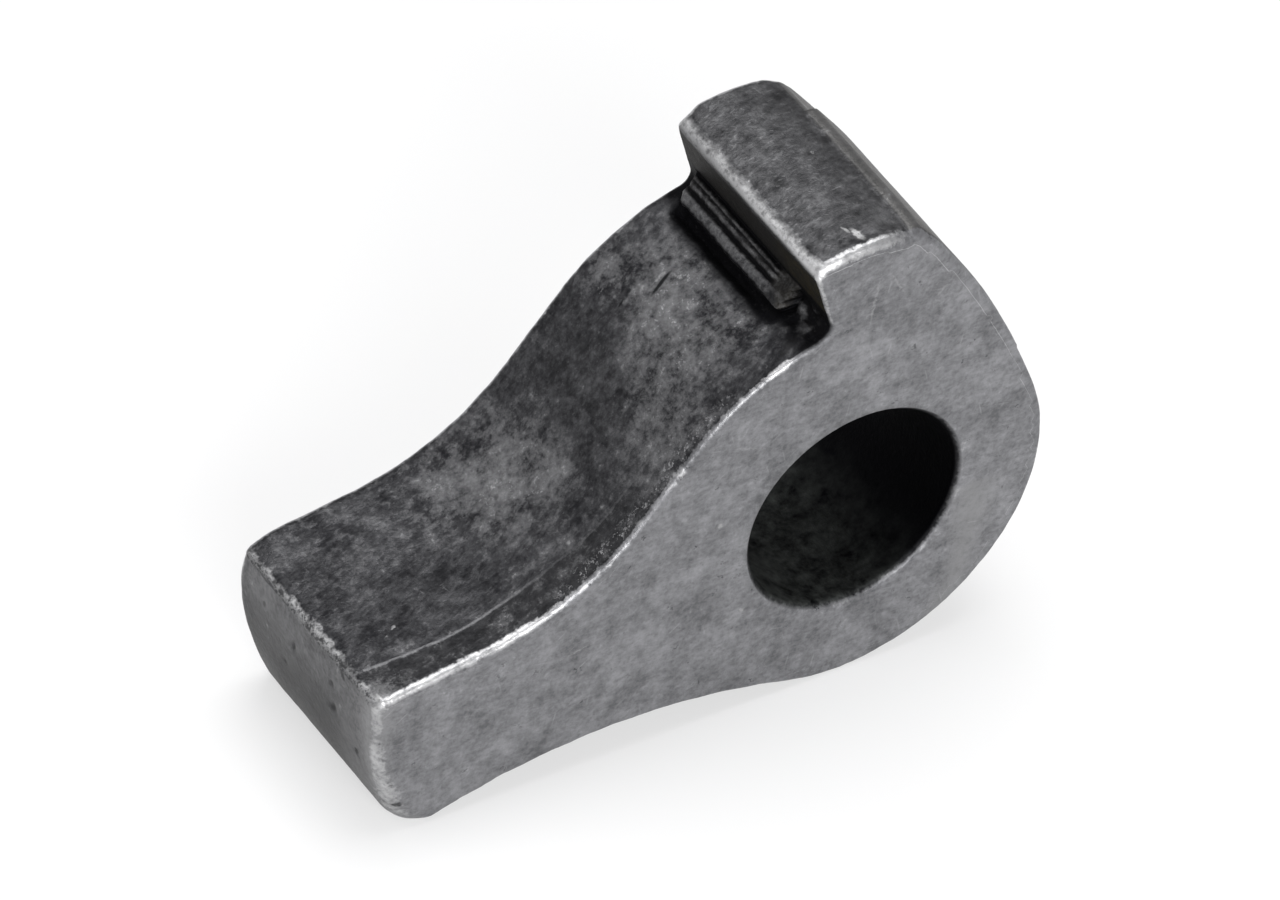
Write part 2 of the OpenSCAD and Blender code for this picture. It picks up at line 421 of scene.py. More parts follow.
def dress_root(place, middle, ragged_end):
    """Puts the ledge and its groove into one ring, and gives the painted shade and the painted highlights
    on the crests there.
    """
    share = smooth((middle - LEDGE_FRONT + HALF_T + 0.2 + ragged_end) / 0.35)
    share *= smooth((HALF_T - LEDGE_BACK + 0.1 - middle + 0.3 * ragged_end) / 0.3)
    # Painted shade of the root, darker towards its corner
    soot = 1 - smooth((ROOT_RUN - 0.3 - 0.5 * wander(middle * 2.1, 80.0)) / 1.3)
    if share.max() == 0:
        return soot, np.zeros(len(ROOT_ZONE))
    section = ledge_section(middle)
    place[ROOT_ZONE] += share[:, None] * (section[:, :2] - POINT[ROOT_ZONE])
    return soot + share * (section[:, 2] - soot), share * section[:, 3]


def skin():
    """The outer skin, ring by ring: points, turn on the edge rounds (0 on a side face), painted shade of
    the root, painted crest highlights.
    """
    front, back = edge_rounds(5.0), edge_rounds(65.0, BACK_TOP_SHARE)
    land_end = HALF_T - LAND_GAP
    land_wave = np.array([0.05 * wander(s * 1.3, 31.0) for s in ALONG])
    ragged_end = np.array([0.3 * wander(s * 2.6, 90.0) for s in ALONG[ROOT_ZONE]])
    points, turns, dirt, ridge = [], [], [], []
    for part, at in ring_plan():
        turn = QUARTER if part == "wall" else at
        y, inset = ring_place(part, at, front, back)
        land = LAND * (1 - smooth((y + land_wave - land_end) / LAND_STEP + 0.5))
        place = POINT + NORMAL * (land - inset)[:, None]
        soot, crest_highlight = np.zeros(COUNT), np.zeros(COUNT)
        soot[ROOT_ZONE], crest_highlight[ROOT_ZONE] = dress_root(place, float(np.median(y[ROOT_ZONE])), ragged_end)
        points.append(np.c_[place[:, 0], y, place[:, 1]])
        turns.append(np.full(COUNT, turn))
        dirt.append(soot * math.sin(turn) ** 2)
        ridge.append(crest_highlight * (part == "wall"))
    return (np.concatenate(column) for column in (points, turns, dirt, ridge))


def relief(points):
    """Depth of the hammered and worn unevenness below the true skin."""
    depth = np.empty(len(points))
    for i, (x, y, z) in enumerate(points):
        broad = noise.noise(Vector((x, y, z)) * 0.45)
        fine = noise.noise(Vector((x + 40, y, z)) * 2.2)
        depth[i] = 0.022 * (broad + 0.6) + 0.007 * (fine + 0.6)
    return np.maximum(depth, 0)


# Pits and dings on the outer skin: x, y, z, radius and depth of each
PITS = [
    (-23.75, 0.97, -3.42, 0.2, 0.08),
    (-23.53, 1.83, -5.1, 0.16, 0.06),
    (-23.66, -2.28, -4.29, 0.24, 0.1),
    (-23.78, -2.13, -3.01, 0.16, 0.08),
    (-23.66, -2.94, -1.41, 0.2, 0.08),
    (-23.45, -3.97, -5.53, 0.16, 0.07),
    (-22.67, -5.4, -6.5, 0.22, 0.07),
    (-23.3, -5.2, -7.2, 0.16, 0.06),
    (-23.5, -5.2, -2.0, 0.18, 0.06),
    (-23.5, -2.1, -1.5, 0.25, 0.08),
    (-23.5, -0.6, -1.5, 0.2, 0.06),
    (-23.5, 1.3, -1.5, 0.3, 0.08),
    (-23.5, 2.9, -1.5, 0.2, 0.06),
    (-23.5, 4.1, -1.5, 0.3, 0.06),
    (-0.9, -4.9, 15.35, 0.3, 0.10),
    (-0.3, -5.0, 15.38, 0.22, 0.08),
    (0.2, 0.5, 15.4, 0.14, 0.05),
    (-3.1, -2.0, 14.9, 0.3, 0.09),
    (-3.2, 0.4, 14.8, 0.25, 0.08),
    (-3.1, 2.4, 14.9, 0.35, 0.09),
    (-3.2, 3.9, 14.8, 0.25, 0.08),
    (-3.1, -3.9, 14.9, 0.3, 0.08),
]

# Lumps of dirt at the front end of the root: x, y, z, radius and height of each
LUMPS = [
    (-2.9, -4.55, 10.8, 0.34, 0.3),
    (-3.5, -4.1, 10.5, 0.3, 0.16),
    (-2.6, -3.75, 11.1, 0.35, 0.3),
    (-2.75, -4.15, 11.0, 0.25, 0.18),
    (-2.6, -5.0, 11.2, 0.28, 0.22),
    (-2.45, -4.6, 11.6, 0.25, 0.14),
    (-3.3, -4.9, 10.6, 0.22, 0.14),
    (-3.9, -4.7, 10.35, 0.3, 0.1),
]

# Corners worn off: place of the corner, way inwards, reach and depth
WORN_CORNERS = [
    ((-23.8, 5.7, -1.2), (0.6, -0.7, -0.4), 1.7, 0.32),
    ((-23.8, -5.7, -1.2), (0.6, 0.7, -0.4), 0.9, 0.12),
    ((-3.3, 5.7, 15.0), (0.5, -0.8, -0.35), 1.2, 0.26),
    ((-3.3, -5.7, 15.0), (0.5, 0.8, -0.35), 1.2, 0.2),
    ((1.9, -5.7, 15.0), (-0.4, 0.7, -0.6), 1.6, 0.22),
    ((1.9, 5.7, 15.0), (-0.5, -0.5, -0.7), 0.8, 0.1),
]

# Low step along the arm's top, near the front face: x and y of its bends
STEP_LINE = [
    (-23.4, -3.56), (-22.2, -3.74), (-21.0, -3.88), (-19.6, -3.97), (-18.2, -3.93), (-16.85, -3.8),
    (-15.5, -3.72), (-14.0, -3.74), (-12.5, -3.85), (-11.4, -3.9), (-9.5, -3.88), (-5.0, -3.9),
]

# Strength of the painted highlight along the low step's edge, by x
STEP_HIGHLIGHT = [
    (-23.6, 0.0), (-23.2, 0.8), (-20.0, 0.9), (-17.0, 0.7), (-14.5, 0.35), (-12.0, 0.6), (-8.5, 0.55),
    (-6.5, 0.15), (-5.5, 0.0),
]


def spots_at(points, spots):
    """Round spots with soft borders, added up at each point: place, reach and amount of each."""
    total = np.zeros(len(points))
    for place, reach, amount in spots:
        total += amount * bell(np.linalg.norm(points - place, axis=1) / reach)
    return total


def marks(points, rows):
    """Depth of pits or height of lumps at each point."""
    return spots_at(points, [(row[:3], row[3], row[4]) for row in rows])


def corner_wear(points):
    """Way by which each point moves in where a corner has been worn off."""
    move = np.zeros_like(points)
    for corner, inward, reach, deep in WORN_CORNERS:
        gap = np.linalg.norm(points - corner, axis=1) / reach
        way = np.array(inward) / np.linalg.norm(inward)
        move += (deep * np.maximum(0, 1 - gap) ** 1.5)[:, None] * way
    return move


def along_x(x, bends):
    """Height at each x of a line given by its bends."""
    bend_x, bend_height = zip(*bends)
    return np.interp(x, bend_x, bend_height)


def past_step(points):
    """Depth from the low step along the arm's top to each point."""
    return points[:, 1] - along_x(points[:, 0], STEP_LINE)


def step_line(points, on_arm):
    """The low step along the arm's top, a little in from the front face."""
    return on_arm * STEP_DROP * (1 - smooth(past_step(points) / STEP_BREADTH + 0.5))


# Share of bare metal and painted highlight on the front edge by x: on the tooth, and on the arm's top
TOOTH_SHINE = [(-3.5, 0.8), (-3.0, 1.1), (0.3, 1.05), (1.0, 0.6), (1.5, 0.2), (2.0, 0.1)]
ARM_SHINE = [
    (-24, 1.0), (-19, 1.0), (-15.2, 0.95), (-14, 0.45), (-10, 0.4), (-7, 0.35), (-5.6, 0.6), (-4.8, 1.0),
    (-4.2, 0.85), (-3.8, 0.3), (-3.2, 0.1),
]

# The same on the back edge of the arm's top, on the hook's wall, and on both edges of the other circles
ARM_BACK_SHINE = 0.45
WALL_SHINE = 0.75
SHINE = {
    "hub": 0.25, "flank": 0.12, "shoulder": 0.3, "top": 1.0, "hook": 0.75, "root": 0.15,
    "tip": 0.6, "nose": 0.72, "heel": 0.45, "underside": 0.1,
}

# Lighter and darker patches of the arm's top: place, reach and amount
PATCHES = [
    ((-13.4, 1.43, 1.55), 2.3, 0.6),
    ((-15.2, 3.2, 0.5), 2.0, 0.25),
    ((-12.0, -0.5, 2.8), 1.4, 0.2),
    ((-6.8, -0.6, 8.8), 2.5, 0.55),
    ((-5.4, 1.6, 9.8), 2.0, 0.35),
    ((-4.6, -2.4, 10.2), 1.3, 0.3),
    ((-8.8, -3.4, 6.6), 2.0, 0.45),
    ((-7.0, 4.4, 8.6), 1.1, 0.5),
    ((-20.5, 2.5, -0.8), 3.0, 0.05),
    ((-9.5, 1.9, 5.9), 2.2, -0.45),
    ((-18.5, -1.5, -0.4), 2.2, -0.35),
    ((-10.5, -1.0, 4.6), 2.0, -0.15),
]


def shine(points, turn, circle):
    """Share of bright bare metal and of painted highlight along the edges of the outer skin."""
    x = points[:, 0]
    front = points[:, 1] < 0
    across = np.sin(np.minimum(2 * turn, math.pi)) ** 0.7
    share = np.zeros(len(points))
    for name, value in SHINE.items():
        share = np.where(on_circles(circle, name), value, share)
    on_tooth = on_circles(circle, "top", "hook", "shoulder")
    share = np.where(on_tooth & front, along_x(x, TOOTH_SHINE), share)
    arm = np.where(front, along_x(x, ARM_SHINE), ARM_BACK_SHINE)
    share = np.where(on_circles(circle, *ARM), arm, share)
    share = np.where(circle == HOOK_WALL, WALL_SHINE * front, share)
    return share * across


def inside(loop, points):
    """Which points lie inside a closed loop of the side view."""
    x, z = points[:, 0:1], points[:, 1:2]
    ax, az = loop[:, 0], loop[:, 1]
    bx, bz = np.roll(ax, -1), np.roll(az, -1)
    crosses = (az > z) != (bz > z)
    climb = np.where(bz == az, 1, bz - az)
    return (crosses & (x < (bx - ax) * (z - az) / climb + ax)).sum(axis=1) % 2 == 1


def round_pairs(first, count):
    """Edges of a closed ring of points with consecutive numbers."""
    return [(first + k, first + (k + 1) % count) for k in range(count)]


def face_spots(loop):
    """Points over a side face, in uneven rows, clear of the outline and of the bore's mouth."""
    low, high = loop.min(axis=0), loop.max(axis=0)
    spots = []
    row = 0
    z = low[1]
    while z < high[1]:
        x = low[0] + (row % 2) * FACE_STEP / 2
        while x < high[0]:
            spots.append((x + 0.08 * FACE_STEP * wander(x * 9, z * 9), z))
            x += FACE_STEP
        z += FACE_STEP * 0.87
        row += 1
    spots = np.array(spots)
    spots = spots[inside(loop, spots) & (np.linalg.norm(spots, axis=1) > BORE_R + BORE_BREAK + 0.2)]
    near = np.array([np.min(np.linalg.norm(loop - spot, axis=1)) for spot in spots])
    return spots[near > 0.55 * FACE_STEP]


def side_face(loop, mouth):
    """Triangles between an outline and the bore's mouth, and the new points that they need.

    The faces count the outline's points, the mouth's and the new ones in turn.
    """
    spots = face_spots(loop)
    every = np.vstack([loop, mouth, spots])
    edges = round_pairs(0, len(loop)) + round_pairs(len(loop), len(mouth))
    _, _, faces, source, _, _ = delaunay_2d_cdt([Vector(p) for p in every], edges, [], 0, 1e-7)
    mouth_r = np.linalg.norm(mouth[0]) * 0.9995
    found = []
    for face in faces:
        corners = [source[k][0] for k in face]
        centre = every[corners].mean(axis=0)
        if np.linalg.norm(centre) > mouth_r and inside(loop, centre[None])[0]:
            found.append(corners)
    return spots, found


class PawlMesh:
    """The pawl's points, the values that its material reads at each of them, and its faces."""

    def __init__(self, points, values):
        self.points = points
        self.values = values
        self.faces = []

    def add(self, points, **values):
        """Adds points with some of the values, and returns the number of the first."""
        first = len(self.points)
        self.points = np.vstack([self.points, points])
        for name, known in self.values.items():
            missing = np.full(len(points), FAR if name.startswith("off_") else 0.0)
            self.values[name] = np.r_[known, values.get(name, missing)]
        return first

    def join(self, ring, following, bore=False):
        """Adds the faces between two rings, given by the numbers of their points."""
        turned, following_turned = np.roll(ring, -1), np.roll(following, -1)
        corners = (ring, following, following_turned, turned)
        if bore:
            corners = (ring, turned, following_turned, following)
        self.faces += np.stack(corners, axis=1).tolist()

    def close(self, ring, mouth, y, turned):
        """Adds one side face, at depth y, between an end ring of the skin and the bore's mouth."""
        spots, found = side_face(self.points[ring][:, [0, 2]], self.points[mouth][:, [0, 2]])
        first = self.add(np.c_[spots[:, 0], np.full(len(spots), y), spots[:, 1]], side=np.ones(len(spots)))
        numbers = np.r_[ring, mouth, first + np.arange(len(spots))]
        for corners in found:
            face = numbers[corners].tolist()
            self.faces.append(face[::-1] if turned else face)


def along_flank():
    """How much the flank is stained at each station: more from the hub up to the shoulder."""
    flank = ALONG[arc_of("flank")]
    begin = smooth((ALONG - flank[0] - 1.5) / 5)
    return begin * (0.45 + 0.55 * smooth((ALONG - flank[-1] + 3) / 3))


def skin_values(points, turn, dirt, ridge, lumps):
    """Values that the material reads on the outer skin, at each point."""
    rings = len(points) // COUNT
    circle = np.tile(CIRCLE, rings)
    x, y, z = points.T

    def on(*names):
        return on_circles(circle, *names).astype(float)

    def each_ring(values):
        return np.tile(values, rings)

    arm = on(*ARM)
    tip_end = on(*TIP_END)
    on_wall_line = circle == HOOK_WALL
    under_hook = on_wall_line | (circle == NAMES.index("root"))
    past_hook = smooth((ALONG - ALONG[arc_of("hook")][-1] - 0.05) / 0.35)
    off_step = past_step(points)
    rim = bell((y + 5.05) / 0.3) * smooth((-6 - x) / 2) * smooth((x + 15.5) / 2)
    return {
        "side": 1 - smooth((turn / QUARTER - 0.5) / 0.5),
        "shine": shine(points, turn, circle),
        "dirt": dirt,
        # Painted shade on the hook's undercut wall, which lies in shadow
        "wall": on_wall_line * each_ring(past_hook) * smooth((turn - 0.9) / 0.6),
        "rust": under_hook * smooth((-y - 1.5) / 2.5) * smooth((turn - 1.1) / 0.4),
        "rim": arm * rim,
        "off_hook": each_ring(off_arc("hook")),
        "off_tip": each_ring(off_arc("tip")),
        "off_step": np.where(arm > 0, off_step, FAR),
        "step_highlight_strength": arm * along_x(x, STEP_HIGHLIGHT),
        "arm": arm,
        "top": on("top"),
        "end": tip_end + 0.5 * on("underside", "hub", "flank"),
        "shade": tip_end * smooth((-z - 1.5) / 5.0) * (0.1 + 0.9 * smooth((y + 5.2) / 4)),
        "flank": on("flank") * smooth((turn - 0.9) / 0.6) * each_ring(along_flank()),
        "shoulder": on("shoulder"),
        "ridge": np.maximum(ridge, smooth(lumps / 0.2 - 0.3)),
        "strip": arm * (1 - smooth(off_step / 0.15 + 0.5)) * smooth((-9.5 - x) / 3),
        "patch": arm * spots_at(points, PATCHES),
        "bore": np.zeros(len(points)),
        "bore_low": np.zeros(len(points)),
    }


def outer_skin():
    """The pawl's mesh with its outer skin only, and the number of rings."""
    points, turn, dirt, ridge = skin()
    rings = len(points) // COUNT
    on_arm = on_circles(np.tile(CIRCLE, rings), *ARM)
    lumps = marks(points, LUMPS)
    depth = relief(points) + marks(points, PITS) - lumps + step_line(points, on_arm)
    outward = np.tile(np.c_[NORMAL[:, 0], np.zeros(COUNT), NORMAL[:, 1]], (rings, 1))
    points = points - outward * (depth * (1 - np.cos(turn) ** 2))[:, None]
    mesh = PawlMesh(points, skin_values(points, turn, dirt, ridge, lumps))
    station = np.arange(COUNT)
    for k in range(rings - 1):
        mesh.join(k * COUNT + station, (k + 1) * COUNT + station)
    return mesh, rings


def add_bore(mesh):
    """Adds the bore with its broken mouths, and returns the numbers of the points on both mouths."""
    mouth_r = BORE_R + BORE_BREAK
    front = [(-HALF_T, mouth_r), (-HALF_T + 0.06, mouth_r - 0.05), (-HALF_T + 0.19, BORE_R + 0.05)]
    inner = HALF_T - BORE_BREAK - 0.03
    rings = front + [(y, BORE_R) for y in np.linspace(-inner, inner, BORE_RINGS)]
    rings += [(-y, r) for y, r in reversed(front)]
    angles = np.arange(BORE_STEPS) * 2 * math.pi / BORE_STEPS
    points = np.array([(r * math.cos(a), y, r * math.sin(a)) for y, r in rings for a in angles])
    at_mouth = np.zeros(len(rings))
    at_mouth[:3] = 1, 0.7, 0.2
    at_mouth[-3:] = 0.2, 0.7, 1
    at_mouth = np.repeat(at_mouth, BORE_STEPS)
    # Painted highlight on the lit side of the bore's mouths
    lit = np.tile(0.4 + 0.6 * np.maximum(0, np.cos(angles + 0.8)), len(rings))
    # Painted light on the lower side of the bore
    low = np.tile(np.maximum(0, np.cos(angles - math.radians(-112))) ** 3, len(rings))
    first = mesh.add(points, side=at_mouth, shine=0.3 * at_mouth * lit, bore=1 - at_mouth, bore_low=low)
    numbers = first + np.arange(len(points)).reshape(len(rings), BORE_STEPS)
    for ring, following in zip(numbers, numbers[1:]):
        mesh.join(ring, following, bore=True)
    return numbers[0], numbers[-1]


def nose_band(points):
    """Rubbed band along the front edge of the tip's end."""
    x, y, z = points.T
    nose_gap = NOSE_R - np.hypot(x - NOSE_R + TIP_REACH, z + NOSE_DROP)
    width = 0.76 + 0.45 * smooth((z + 4.8) / 2.5)
    return bell(np.hypot(nose_gap, y + HALF_T - 0.25) / width) * (z < -1.0)


def build_pawl():
    """The pawl's mesh with the attributes that its material reads."""
    shape, rings = outer_skin()
    front_mouth, back_mouth = add_bore(shape)
    station = np.arange(COUNT)
    shape.close(station, front_mouth, -HALF_T, turned=False)
    shape.close((rings - 1) * COUNT + station, back_mouth, HALF_T, turned=True)
    shape.values["nose_band"] = nose_band(shape.points)
    points = shape.points + corner_wear(shape.points)
    mesh = bpy.data.meshes.new("pawl_steel")
    mesh.from_pydata((points * MM).tolist(), [], shape.faces)
    mesh.validate()
    mesh.polygons.foreach_set("use_smooth", [True] * len(mesh.polygons))
    for name, values in shape.values.items():
        mesh.attributes.new(name, "FLOAT", "POINT").data.foreach_set("value", values.astype(np.float32))
    return bpy.data.objects.new("pawl_steel", mesh)


# Colours of the steel, the dirt on it and the light and shade painted on it, and of the room
COLOURS = {
    "forged dark": (0.018, 0.018, 0.02),
    "forged light": (0.082, 0.082, 0.086),
    "front strip": (0.022, 0.022, 0.023),
    "tooth dark": (0.045, 0.045, 0.047),
    "tooth light": (0.12, 0.12, 0.124),
    "shoulder": (0.13, 0.128, 0.126),
    "light patch": (0.27, 0.27, 0.276),
    "dark patch": (0.017, 0.017, 0.018),
    "tip dark": (0.07, 0.07, 0.073),
    "tip light": (0.17, 0.17, 0.175),
    "tip shade": (0.013, 0.013, 0.014),
    "tip edge": (0.13, 0.13, 0.133),
    "tip spot": (0.02, 0.02, 0.021),
    "nose band": (0.28, 0.28, 0.285),
    "ground dark": (0.13, 0.131, 0.137),
    "ground light": (0.31, 0.311, 0.324),
    "flank stain": (0.036, 0.03, 0.025),
    "pit": (0.035, 0.035, 0.037),
    "speck": (0.4, 0.4, 0.41),
    "grit": (0.45, 0.45, 0.46),
    "rim speck": (0.42, 0.42, 0.43),
    "scratch": (0.5, 0.5, 0.51),
    "bare metal": (0.56, 0.56, 0.565),
    "step": (0.15, 0.15, 0.155),
    "faint mark": (0.36, 0.36, 0.365),
    "bright mark": (0.42, 0.42, 0.42),
    "dark mark": (0.015, 0.015, 0.016),
    "cut": (0.012, 0.012, 0.013),
    "hook wall": (0.021, 0.02, 0.019),
    "rust": (0.034, 0.029, 0.018),
    "soot": (0.006, 0.006, 0.007),
    "ridge dark": (0.04, 0.04, 0.042),
    "ridge light": (0.16, 0.16, 0.164),
    "bore dark": (0.003, 0.003, 0.004),
    "bore light": (0.145, 0.155, 0.147),
    "horizon": (0.8, 0.8, 0.81),
    "overhead": (0.32, 0.32, 0.33),
}


class Tree:
    """Short names for building a material's nodes."""

    def __init__(self, material):
        material.use_nodes = True
        self.tree = material.node_tree
        self.tree.nodes.clear()

    def node(self, kind, inputs=(), **settings):
        made = self.tree.nodes.new(kind)
        for key, value in settings.items():
            setattr(made, key, value)
        for key, value in dict(inputs).items():
            if isinstance(value, bpy.types.NodeSocket):
                self.tree.links.new(value, made.inputs[key])
            else:
                made.inputs[key].default_value = value
        return made

    def mix(self, factor, a, b):
        """Colour between two others, each a socket or the name of a colour."""
        inputs = {0: factor, 6: a, 7: b}
        for key in (6, 7):
            if inputs[key] in COLOURS:
                inputs[key] = (*COLOURS[inputs[key]], 1)
        return self.node("ShaderNodeMix", inputs, data_type="RGBA").outputs[2]

    def vector(self, operation, inputs, output=0):
        return self.node("ShaderNodeVectorMath", inputs, operation=operation).outputs[output]

    def attribute(self, name):
        return self.node("ShaderNodeAttribute", attribute_name=name).outputs["Fac"]

    def noise(self, place, scale, detail=3, roughness=0.55, distortion=0.0):
        inputs = {"Vector": place, "Scale": scale, "Detail": detail, "Roughness": roughness}
        inputs["Distortion"] = distortion
        return self.node("ShaderNodeTexNoise", inputs).outputs["Fac"]

    def rise(self, value, low, high, to_low=0.0, to_high=1.0):
        """Number that goes from one value to another while the input goes from low to high."""
        inputs = {"Value": value, "From Min": low, "From Max": high, "To Min": to_low, "To Max": to_high}
        return self.node("ShaderNodeMapRange", inputs, clamp=True).outputs[0]

    def lerp(self, factor, a, b):
        """Number between a and b."""
        return self.rise(factor, 0.0, 1.0, a, b)

    def along(self, place, angles, sizes, start=(0, 0, 0)):
        """Place measured from a start along turned axes, in units of the given sizes."""
        radians = [math.radians(a) for a in angles]
        inputs = {"Vector": place, "Location": start, "Rotation": radians, "Scale": sizes}
        return self.node("ShaderNodeMapping", inputs, vector_type="TEXTURE").outputs[0]

    def shaken(self, place, scale, size):
        """The place, moved a little by noise, so that what is drawn there gets ragged borders."""
        inputs = {"Vector": place, "Scale": scale, "Detail": 2.0}
        shake = self.node("ShaderNodeTexNoise", inputs).outputs["Color"]
        centred = self.vector("SUBTRACT", {0: shake, 1: (0.5, 0.5, 0.5)})
        small = self.vector("SCALE", {0: centred, "Scale": size})
        return self.vector("ADD", {0: place, 1: small})

    def math(self, operation, first, *others):
        """A sum, product or the like of all the values, or of one value alone."""
        if not others:
            return self.node("ShaderNodeMath", {0: first}, operation=operation).outputs[0]
        for value in others:
            first = self.node("ShaderNodeMath", {0: first, 1: value}, operation=operation).outputs[0]
        return first

    def add(self, *values):
        return self.math("ADD", *values)

    def times(self, *values):
        return self.math("MULTIPLY", *values)

    def most(self, *values):
        return self.math("MAXIMUM", *values)


class SteelTree(Tree):
    """The steel's nodes, with the place in millimetres and the noises that all its parts share."""

    def __init__(self, material):
        super().__init__(material)
        object_place = self.node("ShaderNodeTexCoord").outputs["Object"]
        self.place = self.along(object_place, (0, 0, 0), (MM, MM, MM))
        self.grain = self.noise(self.place, 4.2, detail=4, roughness=0.75)
        self.mottle = self.noise(self.place, 1.5, detail=3, roughness=0.65)
        streaked_place = self.along(self.place, (0, 0, 14), (3.0, 1, 1))
        noises = {
            "swing": self.grain,
            "drift": self.mottle,
            "wide": self.noise(self.place, 0.45, detail=3, roughness=0.6, distortion=0.3),
            "streaks": self.noise(streaked_place, 4.5, detail=3, roughness=0.6),
        }
        self.noises = {name: self.math("SUBTRACT", value, 0.5) for name, value in noises.items()}
        self.patched = self.rise(self.attribute("patch"), 0.0, 0.8)
        fine_share = self.lerp(self.patched, 0.7, 1.2)
        self.tone = self.uneven(0.5, wide=1.5, drift=1.4, swing=fine_share, streaks=1.3)

    def uneven(self, value, **amounts):
        """A value with some of the noises added: fine swing, coarser drift, wide clouds or streaks."""
        return self.add(value, *(self.times(self.noises[name], amount) for name, amount in amounts.items()))

    def away(self, name, shift, **amounts):
        """Distance from a rubbed line, whose borders waver."""
        return self.math("ABSOLUTE", self.uneven(self.add(self.attribute(name), shift), **amounts))


def cells(t, place, angles, sizes, seed):
    """Cells of the given sizes: distance from the middle of each, and three random numbers for it."""
    there = t.along(place, angles, sizes, (seed, 2 * seed, 3 * seed))
    every = t.node("ShaderNodeTexVoronoi", {"Vector": there, "Scale": 1.0})
    chances = t.node("ShaderNodeSeparateColor", {0: every.outputs["Color"]}).outputs
    return every.outputs["Distance"], chances


def strokes(t, place, angles, length, pitch, width, kept, seed):
    """Thin straight strokes along the turned X axis: 1 on a stroke, less on the fainter ones."""
    away, chances = cells(t, place, angles, (length, pitch, pitch), seed)
    line = t.rise(away, 0.4 * width / pitch, width / pitch, 1.0, 0.0)
    return t.times(line, t.rise(chances[0], 1 - kept, 1.0))


def dots(t, place, pitch, low, high, kept, seed):
    """Scattered spots with radii from low to high: 1 inside."""
    away, chances = cells(t, place, (0, 0, 0), (pitch, pitch, pitch), seed)
    size = t.lerp(chances[1], low / pitch, high / pitch)
    inside_dot = t.rise(t.math("SUBTRACT", size, away), 0.0, 0.06)
    return t.times(inside_dot, t.rise(chances[0], 1 - kept, 1.0))


def marks_at(t, place, marks):
    """The given marks: 1 inside each. A mark has a centre, the turn of its own axes and its half sizes."""
    every = 0.0
    for centre, angles, sizes in marks:
        own_place = t.along(place, angles, sizes, centre)
        away = t.vector("LENGTH", {0: own_place}, "Value")
        every = t.most(every, t.rise(away, 0.55, 1.0, 1.0, 0.0))
    return every


# Random strokes on the side faces and on top: turn of the axes, length, pitch, width, share kept and seed
SIDE_STROKES = [
    ((0, 12, 0), 3.0, 0.34, 0.05, 0.7, 3.1),
    ((0, 74, 0), 3.4, 0.4, 0.055, 0.6, 9.7),
    ((0, -38, 0), 3.4, 0.4, 0.055, 0.6, 17.3),
    ((0, 100, 0), 3.4, 0.4, 0.055, 0.6, 29.9),
]
TOP_STROKES = [
    ((0, 0, 6), 1.6, 0.2, 0.045, 0.8, 41.0),
    ((0, 10, -22), 1.3, 0.24, 0.045, 0.7, 53.0),
]

# Scattered dots: pitch, smallest and largest radius, share kept and seed
PIT_DOTS = (0.6, 0.05, 0.14, 0.5, 15.0)
SPECK_DOTS = (0.5, 0.03, 0.1, 0.5, 5.0)
GRIT_DOTS = (0.3, 0.05, 0.13, 0.8, 45.0)
RIM_DOTS = (0.26, 0.06, 0.14, 0.8, 25.0)

# Dark nicks, bright dings, faint scratches and cuts: centre, turn of the axes in degrees and half sizes
DARK_MARKS = [
    ((-23.75, 0.97, -3.42), (15, 0, 0), (0.4, 0.22, 0.4)),
    ((-23.53, 1.83, -5.1), (0, 0, 0), (0.4, 0.16, 0.2)),
    ((-23.66, -2.28, -4.29), (20, 0, 0), (0.4, 0.26, 0.42)),
    ((-23.78, -2.13, -3.01), (0, 0, 0), (0.4, 0.17, 0.22)),
    ((-23.66, -2.94, -1.9), (30, 0, 0), (0.4, 0.38, 0.18)),
    ((-23.7, 3.4, -3.0), (0, 0, 0), (0.4, 0.14, 0.18)),
    ((-23.45, -3.97, -5.53), (0, 0, 0), (0.4, 0.16, 0.26)),
    ((-22.67, -5.4, -6.5), (0, 20, 0), (0.27, 0.3, 0.22)),
    ((-22.2, -5.5, -7.9), (0, 35, 0), (0.24, 0.3, 0.2)),
    ((-22.9, -5.3, -4.1), (0, -60, 0), (0.25, 0.3, 0.18)),
    ((-23.2, -5.1, -3.0), (0, 0, 0), (0.3, 0.24, 0.2)),
    ((-23.3, -4.9, -2.2), (0, 0, 0), (0.3, 0.2, 0.16)),
    ((-2.9, -4.55, 10.9), (0, 0, 0), (0.4, 0.3, 0.3)),
    ((-3.9, -4.9, 10.4), (0, -25, 20), (0.8, 0.25, 0.3)),
]
BRIGHT_MARKS = [
    ((-0.8, -4.75, 15.35), (0, 0, -77), (0.5, 0.17, 0.3)),
    ((-1.15, -4.25, 15.35), (0, 0, -70), (0.3, 0.1, 0.3)),
    ((0.2, 0.54, 15.35), (0, 0, 0), (0.11, 0.1, 0.3)),
    ((-23.45, -5.25, -1.35), (0, 0, 0), (0.2, 0.2, 0.16)),
    ((-6.99, -5.7, 1.99), (0, 0, 0), (0.17, 0.3, 0.15)),
    ((-5.39, -5.7, -3.58), (0, 30, 0), (0.2, 0.3, 0.12)),
]
